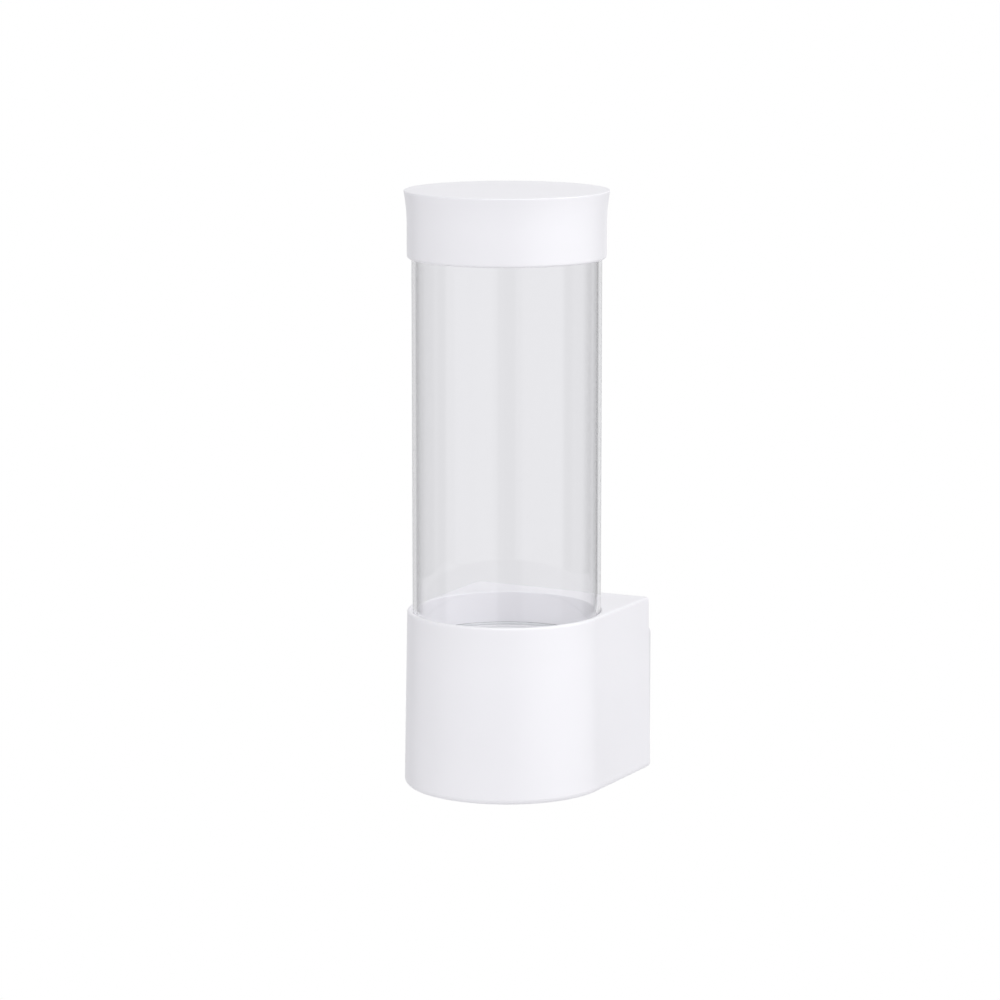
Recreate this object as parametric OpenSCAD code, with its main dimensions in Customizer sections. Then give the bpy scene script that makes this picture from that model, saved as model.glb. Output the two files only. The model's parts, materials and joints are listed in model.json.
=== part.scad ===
// Wall-mounted tube dispenser for paper cups.
// Each module is drawn about the tube's axis, with the base's underside at z = 0 and the wall
// towards +Y. at_wall() then moves it so that the origin is the middle of the two wall screws,
// on the face of the wall.

/* [Tube] */
// Outer diameter of the clear tube
tube_d = 84; // [76:1:110]
// Wall of the clear tube
tube_wall = 2; // [1.5:0.25:2.5]
// Length of the clear tube
tube_h = 198; // [120:1:400]
// Depth of the socket that the tube stands in
socket_depth = 14; // [8:1:18]

/* [Base] */
// Height of the base
base_h = 79; // [74:1:110]
// Gap between the tube and the wall
wall_gap = 15.5; // [12:0.5:38]
// Lean of the base's sides, in degrees
draft = 1; // [0:0.25:1.5]
// Wall of the housing
shell_wall = 2; // [1.5:0.1:2.1]
// Thickness of the floor round the outlet
floor_t = 2.4; // [2:0.1:3]
// Thickness of the top deck
deck_t = 2.4; // [1.5:0.1:3]
// Width of the deck's rim in front of the tube
rim_w = 2.1; // [1.8:0.1:4]
// Rounding of the base's lower edge
foot_round = 2.7; // [1:0.1:4]

/* [Lid] */
// Overall height of the lid
lid_h = 30; // [18:1:50]
// Wall of the lid's skirt
lid_wall = 1.7; // [1.2:0.1:3]
// Thickness of the lid's top
lid_top = 2.4; // [1.5:0.1:4]
// How far the lid's rim flares out
flare = 1.6; // [0:0.1:4]
// Height of the flared band
flare_h = 15; // [8:1:17]

/* [Cups and claws] */
// Gap between the tube's bore and the rim of a cup
cup_gap = 3; // [2:0.5:4]
// Width of a claw
claw_w = 15; // [12:1:16]
// Height of the claws' hinge pins over the underside
pivot_z = 22; // [20:1:26]
// Diameter of a hinge pin
pin_d = 1.6; // [1.2:0.1:2]
// Diameter of the spring wire
wire_d = 0.5; // [0.3:0.1:0.6]

/* [Wall bracket] */
// Thickness of the bracket's plate
bracket_t = 2; // [1.6:0.1:3]
// Distance between the wall screws
screw_spacing = 60; // [56:1:60]
// Diameter of the wall screws' holes
screw_hole_d = 4.5; // [3:0.1:5.5]
// Height of the hooks' tongues, which is also how far the base lifts to come off
tongue_h = 8; // [5:1:9]
// Thickness of the foam strips
foam_t = 0.8; // [0.4:0.1:1]

/* [Hidden] */
$fn = 96;
over = 1;              // how far a cut runs past the face that it opens
hair = 0.01;           // keeps a divisor off zero

// Clearances
slip = 0.3;            // between lift-off pieces
seam = 0.2;            // round an inset cover
touch = 0.05;          // between a stop and what rests on it
pin_fit = 0.05;        // round a pin or a screw
cup_run = 1.5;         // between a cup's rim and the bore of the outlet

// Heights over the underside
tube_r = tube_d / 2;
tube_bore = tube_r - tube_wall;
seat_t = 1;            // thickness of the soft ring under the tube
ledge_t = 1.2;         // ledge that the soft ring lies on
seal_t = 1;            // thickness of the soft ring in the lid
tube_z = base_h - socket_depth;
ledge_z = tube_z - seat_t;
tube_top = tube_z + tube_h;
lid_under = tube_top + seal_t;
lid_z = lid_under + lid_top - lid_h;

// Base
axis_to_wall = tube_r + wall_gap;
socket_r = tube_r + slip;
top_r = socket_r + rim_w;
rim_edge = 0.5;        // rounding of the deck's edge
collar_t = rim_w - rim_edge;
housing_back = axis_to_wall - bracket_t;
post_r = 3.2;          // screw posts at the housing's rear corners
post_l = 13;
post_web = 2.4;
post_in = top_r - shell_wall - post_r + 0.6;
post_low = 20;
post_high = base_h - 9;
cover_t = 2;           // thickness of the back cover
guide_in = 0.8;        // from the tube's outside in to the cup guide's
guide_lip = 0.2;       // from the tube's bore in to the cup guide's top
guide_foot = 2;        // height of the cup guide's foot
seat_in = 0.1;         // from the tube's bore out to the soft ring's

// Outlet, claw ring and claws
cup_r = tube_bore - cup_gap;
outlet_r = cup_r + cup_run;
ring_r = tube_r + 0.6;
window_in = 5;         // how far a claw's window reaches in from the pivot
window_out = 7;        // and out from it
claw_count = 4;
first_claw = 45;       // angle of claw_1 about the tube's axis
claw_side = 0.5;       // gap beside a claw
window_w = claw_w + 2 * claw_side;
window_top = pivot_z + 4;
pivot_r = outlet_r + 1.4;
knuckle_r = pin_d / 2 + 0.9;
heel_h = 5.8;
coil_r = pin_d / 2 + wire_d;
stop_in = coil_r + wire_d / 2 + touch;   // from the pivot out to the wall that the heels rest on
pocket_top = pivot_z + heel_h + 0.5;
ring_top = pocket_top + 1.7;
pin_l = window_w + 5;
pin_way_out = 10;      // the pin's bore runs on out of the ring, to push the pin in
ring_screws = 4;
ring_screw_r = (outlet_r + ring_r) / 2 + 0.15;
ring_screw_up = 12;    // height that the screws' tips reach

// Torsion springs
coil_turns = 4;
coil_l = 4.2;
turn_steps = 12;
spring_gap = coil_l / 2 + 1;
leg_up = 5;
leg_down = 7;
claw_back = 0.1;       // from the pivot out to the claw's back, where the lower leg ends
leg_lean = coil_r - wire_d / 2 - touch - claw_back;
spring_cut = 1.3;      // from the knuckle down to the end of the spring's gap

// Screws: radius of the shank and head, height of the head, length, size of the cross recess
small_screw_r = 1.2;
cover_head_r = 2.4;
cover_head_h = 1.1;
cover_screw_l = 11;
ring_shank_r = 1;
ring_head_r = 1.8;
ring_head_h = 1;
recess_w = 0.6;
recess_depth = 0.6;
recess_l = 3.2;
ring_recess_w = 0.5;
ring_recess_l = 2.2;

// Wall bracket
screw_z = 40;          // height of the wall screws over the base's underside
bracket_low = 6;
bracket_top = base_h - 13;
bracket_in = 0.4;      // from the base's side in to the bracket's
bracket_w = 2 * (top_r - bracket_in);
bracket_round = 4;
sink_d = screw_hole_d + 4;
hook_x = 17;
hook_w = 10;
hook_t = 1.8;
hook_z = bracket_top - tongue_h;
window_r = sink_d / 2 + 1.5;
foam_w = 60;
foam_h = 14;
foam_in = 4;           // from the bracket's edges to the foam strips
foam_z = [bracket_low + foam_in, bracket_top - foam_in - foam_h];

function half_w(z) = top_r + (base_h - z) * tan(draft);

function arc(cx, cz, r, a0, a1, steps) =
    [for (i = [0:steps]) let(a = a0 + (a1 - a0) * i / steps) [cx + r * cos(a), cz + r * sin(a)]];

function shell_outside() = concat(
    arc(half_w(0) - foot_round, foot_round, foot_round, -90, 0, 6),
    arc(half_w(base_h) - rim_edge, base_h - rim_edge, rim_edge, 0, 90, 3));

function shell_inside() = [
    [half_w(floor_t) - shell_wall, floor_t],
    [half_w(base_h - deck_t) - shell_wall, base_h - deck_t]];

// Moves a piece from the tube's axis to the wall screws' middle
module at_wall() {
    translate([0, -axis_to_wall, -screw_z]) children();
}

// Solid with a D-shaped plan: a half turn of the side outline, then straight back by depth
module d_block(side, depth) {
    last = len(side) - 1;
    rotate([0, 0, 180]) rotate_extrude(angle = 180)
        polygon(concat([[0, side[0].y]], side, [[0, side[last].y]]));
    translate([0, depth, 0]) rotate([90, 0, 0]) linear_extrude(depth)
        polygon(concat(side, [for (i = [last:-1:0]) [-side[i].x, side[i].y]]));
}

module pipe(r_out, r_in, h) {
    difference() {
        cylinder(r = r_out, h = h);
        translate([0, 0, -over]) cylinder(r = r_in, h = h + 2 * over);
    }
}

// Cylinder along +Y from y = 0
module rod_y(r, l) {
    rotate([-90, 0, 0]) cylinder(r = r, h = l);
}

// A copy at each of the housing's four rear screws, facing +Y
module at_posts() {
    for (side = [-1, 1], z = [post_low, post_high])
        translate([side * post_in, housing_back - cover_t, z]) children();
}

module at_ring_screws() {
    for (i = [0:ring_screws - 1]) rotate([0, 0, i * 360 / ring_screws])
        translate([ring_screw_r, 0, 0]) children();
}

// A copy at claw i's hinge: X points outwards, Y runs along the pin
module at_pivot(i) {
    rotate([0, 0, first_claw + (i - 1) * 360 / claw_count])
        translate([pivot_r, 0, pivot_z]) children();
}

module screw_post(z) {
    rotate([90, 0, 0]) cylinder(r = post_r, h = post_l);
    web = half_w(z) - shell_wall / 2 - post_in;
    translate([0, -post_l, -post_web / 2]) cube([web, post_l, post_web]);
}

module housing() {
    color("white") at_wall() difference() {
        union() {
            difference() {
                d_block(shell_outside(), housing_back);
                d_block(shell_inside(), housing_back + over);
            }
            translate([0, 0, ledge_z - ledge_t])
                cylinder(r = socket_r + collar_t, h = socket_depth + seat_t + ledge_t - deck_t / 2);
            for (side = [0, 1], z = [post_low, post_high]) mirror([side, 0, 0])
                translate([post_in, housing_back - cover_t, z]) screw_post(z);
        }
        translate([0, 0, ledge_z]) cylinder(r = socket_r, h = base_h);
        translate([0, 0, ledge_z - ledge_t - over]) cylinder(r = tube_bore, h = base_h);
        translate([0, 0, -over]) cylinder(r = outlet_r, h = floor_t + 2 * over);
        at_posts() translate([0, -post_l, 0]) rod_y(small_screw_r + pin_fit, post_l + over);
        at_ring_screws() {
            translate([0, 0, -over]) cylinder(r = ring_shank_r + pin_fit, h = floor_t + 2 * over);
            cylinder(r1 = ring_head_r + pin_fit, r2 = ring_shank_r + pin_fit, h = ring_head_h);
        }
    }
}

module back_cover() {
    low = floor_t + seam;
    high = base_h - deck_t - seam;
    low_w = half_w(low) - shell_wall - seam;
    high_w = half_w(high) - shell_wall - seam;
    slot_h = hook_t + tongue_h + 0.5;
    color("white") at_wall() difference() {
        translate([0, housing_back, 0]) rotate([90, 0, 0]) linear_extrude(cover_t)
            polygon([[low_w, low], [high_w, high], [-high_w, high], [-low_w, low]]);
        at_posts() {
            translate([0, -over, 0]) rod_y(small_screw_r + pin_fit, cover_t + 2 * over);
            translate([0, cover_t - cover_head_h, 0]) rod_y(cover_head_r + seam, cover_head_h + over);
        }
        for (side = [-1, 1]) {
            translate([side * screw_spacing / 2, housing_back - cover_t - over, screw_z])
                rod_y(window_r, cover_t + 2 * over);
            translate([side * hook_x - hook_w / 2 - 0.5, housing_back - cover_t - over, hook_z - slot_h])
                cube([hook_w + 1, cover_t + 2 * over, slot_h]);
        }
    }
}

module back_cover_screws() {
    color("silver") at_wall() at_posts() {
        translate([0, cover_t - cover_screw_l, 0]) rod_y(small_screw_r, cover_screw_l - cover_head_h);
        translate([0, cover_t - cover_head_h, 0]) difference() {
            rod_y(cover_head_r, cover_head_h);
            for (turn = [0, 90]) translate([0, cover_head_h - recess_depth, 0]) rotate([0, turn, 0])
                translate([-recess_l / 2, 0, -recess_w / 2]) cube([recess_l, over, recess_w]);
        }
    }
}

module wall_bracket() {
    color("whitesmoke") at_wall() difference() {
        union() {
            difference() {
                translate([0, axis_to_wall, 0]) rotate([90, 0, 0]) linear_extrude(bracket_t)
                    bracket_outline();
                for (side = [-1, 1]) translate([side * screw_spacing / 2, housing_back, screw_z]) {
                    translate([0, -over, 0]) rod_y(screw_hole_d / 2, bracket_t + 2 * over);
                    translate([0, bracket_t / 2, 0]) rotate([90, 0, 0])
                        cylinder(r1 = screw_hole_d / 2, r2 = sink_d / 2, h = bracket_t / 2);
                }
            }
            for (side = [-1, 1]) translate([side * hook_x - hook_w / 2, 0, 0]) hook();
        }
        for (z = foam_z) translate([-foam_w / 2 - seam, axis_to_wall - foam_t, z - seam])
            cube([foam_w + 2 * seam, foam_t + over, foam_h + 2 * seam]);
    }
}

module bracket_outline() {
    w = bracket_w / 2 - bracket_round;
    for (side = [-1, 1], z = [bracket_low + bracket_round, bracket_top - bracket_round])
        translate([side * w, z]) circle(r = bracket_round);
    translate([-w, bracket_low]) square([2 * w, bracket_top - bracket_low]);
    translate([-bracket_w / 2, bracket_low + bracket_round])
        square([bracket_w, bracket_top - bracket_low - 2 * bracket_round]);
}

// Arm through the cover's slot, then a tongue up behind the cover
module hook() {
    tongue_y = housing_back - cover_t - slip - hook_t;
    translate([0, tongue_y, hook_z - hook_t]) cube([hook_w, housing_back - tongue_y + 0.5, hook_t]);
    translate([0, tongue_y, hook_z - hook_t]) cube([hook_w, hook_t, hook_t + tongue_h]);
}

module foam_strips() {
    color("gainsboro") at_wall() for (z = foam_z)
        translate([-foam_w / 2, axis_to_wall - foam_t, z]) cube([foam_w, foam_t, foam_h]);
}

module claw_ring() {
    color("gainsboro") at_wall() difference() {
        translate([0, 0, floor_t]) pipe(ring_r, outlet_r, ring_top - floor_t);
        for (i = [1:claw_count]) at_pivot(i) {
            translate([-window_in, -window_w / 2, floor_t - over - pivot_z])
                cube([window_in + window_out, window_w, window_top - floor_t + over]);
            translate([-window_in, -window_w / 2, 0])
                cube([window_in + stop_in, window_w, pocket_top - pivot_z]);
            translate([0, -pin_l / 2, 0]) rod_y(pin_d / 2 + pin_fit, pin_l + pin_way_out);
        }
        at_ring_screws() cylinder(r = ring_shank_r + pin_fit, h = ring_screw_up + over);
    }
}

module claw_ring_screws() {
    color("silver") at_wall() at_ring_screws() difference() {
        union() {
            translate([0, 0, touch])
                cylinder(r1 = ring_head_r, r2 = ring_shank_r, h = ring_head_h);
            translate([0, 0, ring_head_h]) cylinder(r = ring_shank_r, h = ring_screw_up - ring_head_h);
        }
        for (turn = [0, 90]) rotate([0, 0, turn]) translate([-ring_recess_l / 2, -ring_recess_w / 2, -over])
            cube([ring_recess_l, ring_recess_w, over + recess_depth]);
    }
}

module cup_guide() {
    h = ledge_z - ledge_t - ring_top;
    color("white") at_wall() translate([0, 0, ring_top]) difference() {
        union() {
            cylinder(r = tube_r - guide_in, h = h);
            cylinder(r = ring_r, h = guide_foot);
        }
        cylinder(r1 = outlet_r, r2 = tube_bore - guide_lip, h = h);
    }
}

module tube_seat() {
    color("lightgray") at_wall() translate([0, 0, ledge_z])
        pipe(socket_r - seam, tube_bore + seat_in, seat_t);
}

module tube() {
    color("lightcyan", 0.3) at_wall() translate([0, 0, tube_z]) pipe(tube_r, tube_bore, tube_h);
}

module lid() {
    skirt_r = tube_r + slip;
    out_r = skirt_r + lid_wall;
    top_z = lid_under + lid_top;
    flare_r = (pow(flare_h, 2) + pow(flare, 2)) / (2 * max(flare, hair));
    edge = 0.7;
    hem = 1.2;
    spigot_r = tube_bore - slip;
    spigot_h = 6;
    spigot_t = 1.6;
    flare_steps = 8;
    spigot_z = lid_under - seal_t - spigot_h;
    side = concat(
        arc(out_r - hem, lid_z + hem, hem, -90, 0, 4),
        [for (i = [0:flare_steps]) let(rise = (flare_h - edge) * i / flare_steps)
            [out_r + flare_r - sqrt(pow(flare_r, 2) - pow(rise, 2)), top_z - flare_h + rise]],
        arc(out_r + flare - 2 * edge, top_z - edge, edge, 45, 90, 2));
    color("white") at_wall() difference() {
        rotate_extrude() polygon(concat([[0, lid_z]], side, [[0, top_z]]));
        translate([0, 0, lid_z - over]) cylinder(r = skirt_r, h = spigot_z - lid_z + over);
        translate([0, 0, spigot_z - over]) pipe(skirt_r, spigot_r, lid_under - spigot_z + over);
        translate([0, 0, spigot_z - 2 * over])
            cylinder(r = spigot_r - spigot_t, h = lid_under - spigot_z + 2 * over);
    }
}

module lid_seal() {
    color("lightgray") at_wall() translate([0, 0, tube_top])
        pipe(tube_r + slip / 2, tube_bore - slip / 2, seal_t);
}

// Arm with the hooked tip, heel above the pivot, and two knuckles either side of the spring
module claw(i) {
    arm = [
        [-1.3, -1], [-2.5, -10], [-5.1, -11.2], [-5.1, -12.2], [-1.6, -14.2], [-0.5, -13], [0.7, -1]];
    heel = [[0.1, 0], [stop_in - touch, 0], [stop_in - touch, heel_h], [0.3, heel_h]];
    color("lightgray") at_wall() at_pivot(i) difference() {
        union() {
            rotate([90, 0, 0]) linear_extrude(claw_w, center = true) polygon(arm);
            rotate([90, 0, 0]) linear_extrude(claw_w, center = true) polygon(heel);
            translate([0, -claw_w / 2, 0]) rod_y(knuckle_r, claw_w);
        }
        translate([0, -claw_w / 2 - over, 0]) rod_y(pin_d / 2 + pin_fit, claw_w + 2 * over);
        translate([-knuckle_r - over, -spring_gap, -knuckle_r - spring_cut])
            cube([2 * (knuckle_r + over), 2 * spring_gap, knuckle_r + spring_cut + heel_h + over]);
    }
}

module claw_pin(i) {
    color("silver") at_wall() at_pivot(i) translate([0, -pin_l / 2, 0]) rod_y(pin_d / 2, pin_l);
}

function unit(v) = v / norm(v);

// Upper leg on the stop wall, turns round the pin, lower leg on the claw's back
function spring_path() = concat(
    [[coil_r, -coil_l / 2, leg_up], [coil_r, -coil_l / 2, leg_up / 2]],
    [for (i = [0:coil_turns * turn_steps]) let(a = -360 * i / turn_steps)
        [coil_r * cos(a), -coil_l / 2 + coil_l * i / (coil_turns * turn_steps), coil_r * sin(a)]],
    [[coil_r - leg_lean / 2, coil_l / 2, -leg_down / 2], [coil_r - leg_lean, coil_l / 2, -leg_down]]);

// Points round a wire at step i of its path; the path runs round the Y axis
function wire_ring(path, i, r, sides) =
    let(
        ahead = path[min(i + 1, len(path) - 1)],
        behind = path[max(i - 1, 0)],
        along = unit(ahead - behind),
        a = unit(cross(along, [0, 1, 0])),
        b = cross(along, a))
    [for (k = [0:sides - 1]) path[i] + r * (cos(360 * k / sides) * a + sin(360 * k / sides) * b)];

module wire(path, r, sides = 8) {
    rings = len(path);
    polyhedron(
        points = [for (i = [0:rings - 1]) each wire_ring(path, i, r, sides)],
        faces = concat(
            [[for (k = [0:sides - 1]) k]],
            [for (i = [0:rings - 2], k = [0:sides - 1])
                [i * sides + k, (i + 1) * sides + k, i * sides + (k + 1) % sides]],
            [for (i = [0:rings - 2], k = [0:sides - 1])
                [i * sides + (k + 1) % sides, (i + 1) * sides + k, (i + 1) * sides + (k + 1) % sides]],
            [[for (k = [sides - 1:-1:0]) (rings - 1) * sides + k]]));
}

module claw_spring(i) {
    color("silver") at_wall() at_pivot(i) wire(spring_path(), wire_d / 2);
}

wall_bracket();
foam_strips();
housing();
back_cover();
back_cover_screws();
claw_ring();
claw_ring_screws();
cup_guide();
tube_seat();
tube();
lid();
lid_seal();
claw(1);  // claw_1
claw(2);  // claw_2
claw(3);  // claw_3
claw(4);  // claw_4
claw_pin(1);  // claw_pin_1
claw_pin(2);  // claw_pin_2
claw_pin(3);  // claw_pin_3
claw_pin(4);  // claw_pin_4
claw_spring(1);  // claw_spring_1
claw_spring(2);  // claw_spring_2
claw_spring(3);  // claw_spring_3
claw_spring(4);  // claw_spring_4
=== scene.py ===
"""Looks of a wall-mounted tube dispenser for paper cups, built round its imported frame.

Shapes are worked out about the tube's axis, with the base's underside at z = 0 and the wall
towards +Y, in millimetres. placed() turns them into metres in the row frame.
"""

import json
import math

import bmesh
import bpy
import numpy as np
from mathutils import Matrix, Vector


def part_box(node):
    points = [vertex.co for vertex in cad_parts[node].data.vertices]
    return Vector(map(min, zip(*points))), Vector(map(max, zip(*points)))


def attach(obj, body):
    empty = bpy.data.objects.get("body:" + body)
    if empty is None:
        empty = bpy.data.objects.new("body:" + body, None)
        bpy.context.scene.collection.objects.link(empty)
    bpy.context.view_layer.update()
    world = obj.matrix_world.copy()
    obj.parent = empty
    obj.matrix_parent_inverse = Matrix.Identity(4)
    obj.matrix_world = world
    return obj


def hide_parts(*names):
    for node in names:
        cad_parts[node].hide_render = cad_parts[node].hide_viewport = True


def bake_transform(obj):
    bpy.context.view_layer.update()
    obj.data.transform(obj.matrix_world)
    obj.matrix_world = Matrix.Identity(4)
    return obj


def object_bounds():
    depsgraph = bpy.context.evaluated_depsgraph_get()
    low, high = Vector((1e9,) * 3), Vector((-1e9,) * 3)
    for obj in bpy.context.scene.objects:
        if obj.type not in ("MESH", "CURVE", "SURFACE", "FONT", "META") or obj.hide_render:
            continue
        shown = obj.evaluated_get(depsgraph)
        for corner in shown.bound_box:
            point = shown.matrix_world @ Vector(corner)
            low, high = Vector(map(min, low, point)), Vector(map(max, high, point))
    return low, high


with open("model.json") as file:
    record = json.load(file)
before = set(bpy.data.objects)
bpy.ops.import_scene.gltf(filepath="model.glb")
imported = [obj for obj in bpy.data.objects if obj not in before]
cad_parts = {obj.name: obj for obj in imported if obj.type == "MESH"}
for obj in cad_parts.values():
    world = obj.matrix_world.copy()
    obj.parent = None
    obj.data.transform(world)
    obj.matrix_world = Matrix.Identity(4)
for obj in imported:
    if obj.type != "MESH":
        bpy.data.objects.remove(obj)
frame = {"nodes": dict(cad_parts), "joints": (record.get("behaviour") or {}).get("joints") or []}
CAD_LOW, CAD_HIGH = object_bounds()
NODES = frame["nodes"]
JOINTS = {joint["name"]: joint for joint in frame["joints"]}
MM = 0.001


# ---------------------------------------------------------------- sizes read from the frame

def edges_of(node):
    """A node's lowest and highest corners as two numpy points, in metres."""
    low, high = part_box(node)
    return np.array(low), np.array(high)


TUBE_LOW, TUBE_HIGH = edges_of("tube")
BASE_LOW, BASE_HIGH = edges_of("housing")
LID_LOW, LID_HIGH = edges_of("lid")

# The tube's axis, at the height of the base's underside
AXIS = np.array([0.0, (TUBE_LOW[1] + TUBE_HIGH[1]) / 2, BASE_LOW[2]])


def height(z):
    """A height in the row frame as millimetres over the base's underside."""
    return (z - AXIS[2]) / MM


def placed(points):
    """Millimetres about the tube's axis to metres in the row frame."""
    return np.asarray(points, float) * MM + AXIS


# Clear tube, and the slip of what fits round it or inside it
TUBE_R = (TUBE_HIGH[1] - TUBE_LOW[1]) / 2 / MM
TUBE_WALL = 2.0
TUBE_BORE = TUBE_R - TUBE_WALL
TUBE_Z = height(TUBE_LOW[2])
TUBE_TOP = height(TUBE_HIGH[2])
SLIP = 0.3

# Housing: its back stops short of the bracket; the socket takes the tube, which stands on the
# soft ring on the ledge, and a collar runs down from there
BASE_H = height(BASE_HIGH[2])
BRACKET_GAP = 0.05
BASE_BACK = (BASE_HIGH[1] - AXIS[1]) / MM - BRACKET_GAP
SHELL_WALL = 2.0
FLOOR_T = 2.4
DECK_T = 2.4
DECK_UNDER = BASE_H - DECK_T
RIM_W = 2.1
SOCKET_R = TUBE_R + SLIP
TOP_R = SOCKET_R + RIM_W
FOOT_R = (BASE_HIGH[0] - BASE_LOW[0]) / 2 / MM
DECK_ROUND = 1.0
FOOT_ROUND = 2.7
REAR_FOOT_ROUND = 2.0
OUTLET_STEP = 1.5
OUTLET_R = TUBE_BORE - OUTLET_STEP
LEDGE_Z = height(edges_of("tube_seat")[0][2])
LEDGE_T = 1.2
COLLAR_R = TOP_R - 0.5

# Lid: the skirt slips over the tube and flares out to the rim; the soft ring lies under its top
LID_Z = height(LID_LOW[2])
LID_TOP = height(LID_HIGH[2])
LID_WALL = 1.7
LID_R = TUBE_R + SLIP + LID_WALL
LID_RIM_R = (LID_HIGH[0] - LID_LOW[0]) / 2 / MM
LID_UNDER = height(edges_of("lid_seal")[1][2])


# ---------------------------------------------------------------- shapes worked out with numpy

def cleaned(mesh):
    """Welds a mesh's doubles, points less than 0.0002 mm apart, and turns its faces outwards."""
    work = bmesh.new()
    work.from_mesh(mesh)
    bmesh.ops.remove_doubles(work, verts=work.verts, dist=2e-7)
    bmesh.ops.dissolve_degenerate(work, edges=work.edges, dist=1e-7)
    bmesh.ops.recalc_face_normals(work, faces=work.faces)
    work.to_mesh(mesh)
    work.free()


def finish_piece(name, mesh, body, material, stands_for):
    """Makes a mesh a smooth piece that stands for CAD nodes, and rides it on a body, if it is given
    one."""
    mesh.polygons.foreach_set("use_smooth", [True] * len(mesh.polygons))
    mesh.materials.append(material)
    piece = bpy.data.objects.new(name, mesh)
    bpy.context.scene.collection.objects.link(piece)
    if body:
        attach(piece, body)
    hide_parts(*stands_for)
    return piece


def add_piece(name, points, faces, body, material, stands_for):
    """Makes a piece from points in the row frame and faces between them."""
    mesh = bpy.data.meshes.new(name)
    mesh.from_pydata(np.asarray(points, float).tolist(), [], [list(face) for face in faces])
    cleaned(mesh)
    return finish_piece(name, mesh, body, material, stands_for)


def even_normals(piece):
    """Lets large faces set the normals where they meet a small rounding, so that flats stay flat."""
    modifier = piece.modifiers.new("even_normals", "WEIGHTED_NORMAL")
    modifier.weight = 100
    modifier.keep_sharp = True
    return piece


def grid_faces(rows, columns, around=False, over=False):
    """Quads of a grid of rows by columns points; around closes the columns, over closes the rows."""
    i = np.arange(rows if over else rows - 1)[:, None]
    j = np.arange(columns if around else columns - 1)[None, :]
    after_i, after_j = (i + 1) % rows, (j + 1) % columns
    corners = [i * columns + j, i * columns + after_j, after_i * columns + after_j,
               after_i * columns + j]
    return np.stack([np.broadcast_to(c, (i.size, j.size)) for c in corners], -1).reshape(-1, 4)


def rounded(corners, closed=True):
    """An outline through corners (x, y, radius), each turned into an arc tangent to both of its
    sides: the arc's centre lies on the bisector, at radius over the sine of half the angle."""
    spots = np.array([c[:2] for c in corners], float)
    radii = [c[2] for c in corners]
    out = []
    for i, spot in enumerate(spots):
        ends = not closed and i in (0, len(spots) - 1)
        if ends or radii[i] <= 0:
            out.append(spot[None])
            continue
        to_last = spots[i - 1] - spot
        to_next = spots[(i + 1) % len(spots)] - spot
        to_last /= np.linalg.norm(to_last)
        to_next /= np.linalg.norm(to_next)
        half = math.acos(np.clip(to_last @ to_next, -1, 1)) / 2
        middle = to_last + to_next
        centre = spot + middle / np.linalg.norm(middle) * radii[i] / math.sin(half)
        start = spot + to_last * radii[i] / math.tan(half) - centre
        end = spot + to_next * radii[i] / math.tan(half) - centre
        turn = math.atan2(start[0] * end[1] - start[1] * end[0], start @ end)
        steps = max(3, int(abs(math.degrees(turn)) / 12))
        a = np.linspace(0, turn, steps + 1)[:, None]
        side = np.array([-start[1], start[0]])
        out.append(centre + start * np.cos(a) + side * np.sin(a))
    return np.vstack(out)


def turned(outline, segments=192):
    """Points and faces of an outline (radius, height) turned round the tube's axis.
    The point at angle t is (r cos t, r sin t, z); cleaned() welds points on the axis to a pole."""
    t = np.linspace(0, 2 * math.pi, segments, endpoint=False)
    r, z = outline[:, :1], outline[:, 1:]
    points = np.stack([r * np.cos(t), r * np.sin(t), np.broadcast_to(z, (len(r), segments))], -1)
    on_axis = outline[0, 0] == 0
    faces = grid_faces(len(outline), segments, around=True, over=not on_axis)
    return points.reshape(-1, 3), faces


def turned_piece(name, outline, body, material, stands_for, segments=192):
    """A turned piece about the tube's axis."""
    points, faces = turned(outline, segments)
    return even_normals(add_piece(name, placed(points), faces, body, material, stands_for))


def swept(path, radius, sides=12):
    """Points and faces of a round wire: at each point of the path a ring stands square to the
    path's direction, its first spoke square to the hinge's axis (Y) as well."""
    along = np.gradient(path, axis=0)
    along /= np.linalg.norm(along, axis=1, keepdims=True)
    first = np.cross(along, [0, 1, 0])
    first /= np.linalg.norm(first, axis=1, keepdims=True)
    second = np.cross(first, along)
    k = np.linspace(0, 2 * math.pi, sides, endpoint=False)[None, :, None]
    rings = path[:, None] + radius * (np.cos(k) * first[:, None] + np.sin(k) * second[:, None])
    faces = grid_faces(len(path), sides, around=True).tolist()
    last = (len(path) - 1) * sides
    faces.append(list(range(sides)))
    faces.append(list(range(last + sides - 1, last - 1, -1)))
    return rings.reshape(-1, 3), faces


# ---------------------------------------------------------------- materials

def new_group(name, inputs, outputs):
    """An empty node group with named float or vector sockets; returns it with its end nodes."""
    group = bpy.data.node_groups.new(name, "ShaderNodeTree")
    for label, kind, value in inputs:
        socket = group.interface.new_socket(label, in_out="INPUT", socket_type=kind)
        if value is not None:
            socket.default_value = value
    for label, kind in outputs:
        group.interface.new_socket(label, in_out="OUTPUT", socket_type=kind)
    return group, group.nodes.new("NodeGroupInput"), group.nodes.new("NodeGroupOutput")


def node(tree, kind, settings=None, **inputs):
    """A node with its settings and its inputs' plain values or links; an input is given by its
    name, or as i0, i1 and so on by its number."""
    made = tree.nodes.new(kind)
    for key, value in (settings or {}).items():
        setattr(made, key, value)
    for key, value in inputs.items():
        numbered = key[0] == "i" and key[1:].isdigit()
        socket = made.inputs[int(key[1:]) if numbered else key.replace("_", " ")]
        if isinstance(value, bpy.types.NodeSocket):
            tree.links.new(value, socket)
        else:
            socket.default_value = value
    return made


def maths(tree, operation, a, b=0.0, c=0.0):
    """The output of a Math node."""
    return node(tree, "ShaderNodeMath", {"operation": operation}, i0=a, i1=b, i2=c).outputs[0]


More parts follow.
